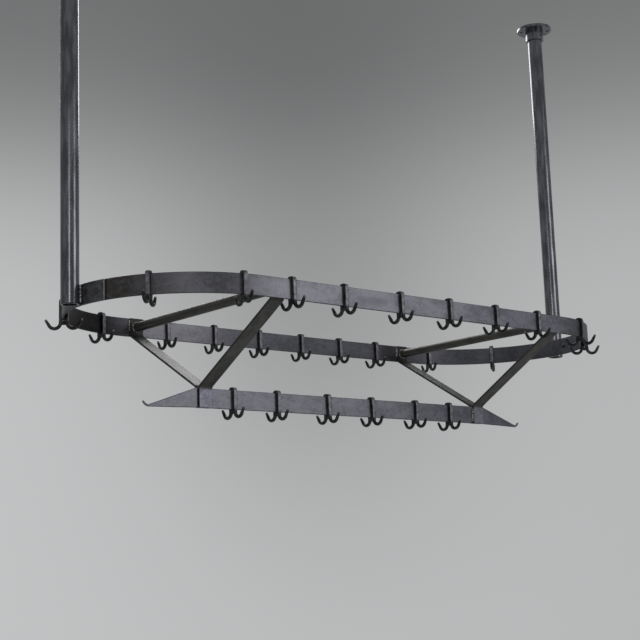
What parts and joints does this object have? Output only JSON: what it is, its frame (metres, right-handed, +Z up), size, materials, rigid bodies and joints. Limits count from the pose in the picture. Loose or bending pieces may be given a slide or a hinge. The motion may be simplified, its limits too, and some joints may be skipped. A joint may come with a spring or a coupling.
{
  "type": "hanging pot rack",
  "caption": "Ceiling-hung pot rack: a long round-ended ring of flat bar on a tube at each end, a lower bar carried by V frames, and loose double hooks along the bars.",
  "frame": {"origin": "on the ceiling plane, midway between the two tubes, at the middle of the ceiling screws", "axes": "+X from the left tube to the right tube, +Y from the front of the ring to the back, +Z up into the ceiling"},
  "size_m": [1.861, 0.7202, 1.3504],
  "materials": {
    "tube": "black lacquer over steel tube, satin",
    "flange": "black lacquer over steel, satin",
    "screw": "blackened, satin",
    "ring": "clear wax over mottled blue-grey mill scale, semi-gloss",
    "plate": "dark wax over hammered bar, semi-gloss",
    "rivet": "dark wax, satin",
    "weld": "dark wax over rippled weld metal",
    "rod": "brown-black wax over round bar, satin",
    "brace": "brown-black wax over flat bar, satin",
    "lower_bar": "clear wax over mottled grey mill scale, satin",
    "hook": "black wax over forged bar, semi-gloss"
  },
  "bodies": {
    "frame": {"left_pole": "tube", "right_pole": "tube", "left_ceiling_flange": "flange", "right_ceiling_flange": "flange", "left_set_screws": "screw", "right_set_screws": "screw", "front_band": "ring", "back_band": "ring", "left_splice_plate": "plate", "right_splice_plate": "plate", "left_rivets": "rivet", "right_rivets": "rivet", "left_pole_welds": "weld", "right_pole_welds": "weld", "left_cross_rod": "rod", "right_cross_rod": "rod", "left_front_brace": "brace", "left_back_brace": "brace", "right_front_brace": "brace", "right_back_brace": "brace", "left_brace_welds": "weld", "right_brace_welds": "weld", "lower_bar": "lower_bar"},
    "front_hook_1": {"front_hook_1": "hook"},
    "front_hook_2": {"front_hook_2": "hook"},
    "front_hook_3": {"front_hook_3": "hook"},
    "front_hook_4": {"front_hook_4": "hook"},
    "front_hook_5": {"front_hook_5": "hook"},
    "front_hook_6": {"front_hook_6": "hook"},
    "back_hook_1": {"back_hook_1": "hook"},
    "back_hook_2": {"back_hook_2": "hook"},
    "back_hook_3": {"back_hook_3": "hook"},
    "back_hook_4": {"back_hook_4": "hook"},
    "back_hook_5": {"back_hook_5": "hook"},
    "back_hook_6": {"back_hook_6": "hook"},
    "lower_hook_1": {"lower_hook_1": "hook"},
    "lower_hook_2": {"lower_hook_2": "hook"},
    "lower_hook_3": {"lower_hook_3": "hook"},
    "lower_hook_4": {"lower_hook_4": "hook"},
    "lower_hook_5": {"lower_hook_5": "hook"},
    "lower_hook_6": {"lower_hook_6": "hook"},
    "left_end_hook_1": {"left_end_hook_1": "hook"},
    "left_end_hook_2": {"left_end_hook_2": "hook"},
    "left_end_hook_3": {"left_end_hook_3": "hook"},
    "left_end_hook_4": {"left_end_hook_4": "hook"},
    "right_end_hook_1": {"right_end_hook_1": "hook"},
    "right_end_hook_2": {"right_end_hook_2": "hook"},
    "right_end_hook_3": {"right_end_hook_3": "hook"},
    "right_end_hook_4": {"right_end_hook_4": "hook"}
  },
  "joints": [
    {"name": "front_hook_1_slide", "type": "slide", "parent": "frame", "child": "front_hook_1", "axis": [1, 0, 0], "range_m": [-0.007, 0.074]},
    {"name": "front_hook_2_slide", "type": "slide", "parent": "frame", "child": "front_hook_2", "axis": [1, 0, 0], "range_m": [-0.074, 0.087]},
    {"name": "front_hook_3_slide", "type": "slide", "parent": "frame", "child": "front_hook_3", "axis": [1, 0, 0], "range_m": [-0.087, 0.08]},
    {"name": "front_hook_4_slide", "type": "slide", "parent": "frame", "child": "front_hook_4", "axis": [1, 0, 0], "range_m": [-0.08, 0.081]},
    {"name": "front_hook_5_slide", "type": "slide", "parent": "frame", "child": "front_hook_5", "axis": [1, 0, 0], "range_m": [-0.081, 0.078]},
    {"name": "front_hook_6_slide", "type": "slide", "parent": "frame", "child": "front_hook_6", "axis": [1, 0, 0], "range_m": [-0.078, 0.034]},
    {"name": "back_hook_1_slide", "type": "slide", "parent": "frame", "child": "back_hook_1", "axis": [1, 0, 0], "range_m": [-0.07, 0.072]},
    {"name": "back_hook_2_slide", "type": "slide", "parent": "frame", "child": "back_hook_2", "axis": [1, 0, 0], "range_m": [-0.072, 0.072]},
    {"name": "back_hook_3_slide", "type": "slide", "parent": "frame", "child": "back_hook_3", "axis": [1, 0, 0], "range_m": [-0.072, 0.071]},
    {"name": "back_hook_4_slide", "type": "slide", "parent": "frame", "child": "back_hook_4", "axis": [1, 0, 0], "range_m": [-0.071, 0.067]},
    {"name": "back_hook_5_slide", "type": "slide", "parent": "frame", "child": "back_hook_5", "axis": [1, 0, 0], "range_m": [-0.067, 0.067]},
    {"name": "back_hook_6_slide", "type": "slide", "parent": "frame", "child": "back_hook_6", "axis": [1, 0, 0], "range_m": [-0.067, 0.076]},
    {"name": "lower_hook_1_slide", "type": "slide", "parent": "frame", "child": "lower_hook_1", "axis": [1, 0, 0], "range_m": [-0.058, 0.063]},
    {"name": "lower_hook_2_slide", "type": "slide", "parent": "frame", "child": "lower_hook_2", "axis": [1, 0, 0], "range_m": [-0.063, 0.078]},
    {"name": "lower_hook_3_slide", "type": "slide", "parent": "frame", "child": "lower_hook_3", "axis": [1, 0, 0], "range_m": [-0.078, 0.072]},
    {"name": "lower_hook_4_slide", "type": "slide", "parent": "frame", "child": "lower_hook_4", "axis": [1, 0, 0], "range_m": [-0.072, 0.076]},
    {"name": "lower_hook_5_slide", "type": "slide", "parent": "frame", "child": "lower_hook_5", "axis": [1, 0, 0], "range_m": [-0.076, 0.06]},
    {"name": "lower_hook_6_slide", "type": "slide", "parent": "frame", "child": "lower_hook_6", "axis": [1, 0, 0], "range_m": [-0.06, 0.084]},
    {"name": "left_end_hook_1_turn", "type": "hinge", "parent": "frame", "child": "left_end_hook_1", "pos_m": [-0.535, 0, -1.05], "axis": [0, 0, 1], "range_deg": [-19, 10.5]},
    {"name": "left_end_hook_2_turn", "type": "hinge", "parent": "frame", "child": "left_end_hook_2", "pos_m": [-0.535, 0, -1.05], "axis": [0, 0, 1], "range_deg": [-19, 19]},
    {"name": "left_end_hook_3_turn", "type": "hinge", "parent": "frame", "child": "left_end_hook_3", "pos_m": [-0.535, 0, -1.05], "axis": [0, 0, 1], "range_deg": [-18, 18]},
    {"name": "left_end_hook_4_turn", "type": "hinge", "parent": "frame", "child": "left_end_hook_4", "pos_m": [-0.535, 0, -1.05], "axis": [0, 0, 1], "range_deg": [-12.5, 18]},
    {"name": "right_end_hook_1_turn", "type": "hinge", "parent": "frame", "child": "right_end_hook_1", "pos_m": [0.535, 0, -1.05], "axis": [0, 0, 1], "range_deg": [-17.5, 16]},
    {"name": "right_end_hook_2_turn", "type": "hinge", "parent": "frame", "child": "right_end_hook_2", "pos_m": [0.535, 0, -1.05], "axis": [0, 0, 1], "range_deg": [-16, 18]},
    {"name": "right_end_hook_3_turn", "type": "hinge", "parent": "frame", "child": "right_end_hook_3", "pos_m": [0.535, 0, -1.05], "axis": [0, 0, 1], "range_deg": [-18, 18]},
    {"name": "right_end_hook_4_turn", "type": "hinge", "parent": "frame", "child": "right_end_hook_4", "pos_m": [0.535, 0, -1.05], "axis": [0, 0, 1], "range_deg": [-18, 13.5]}
  ]
}
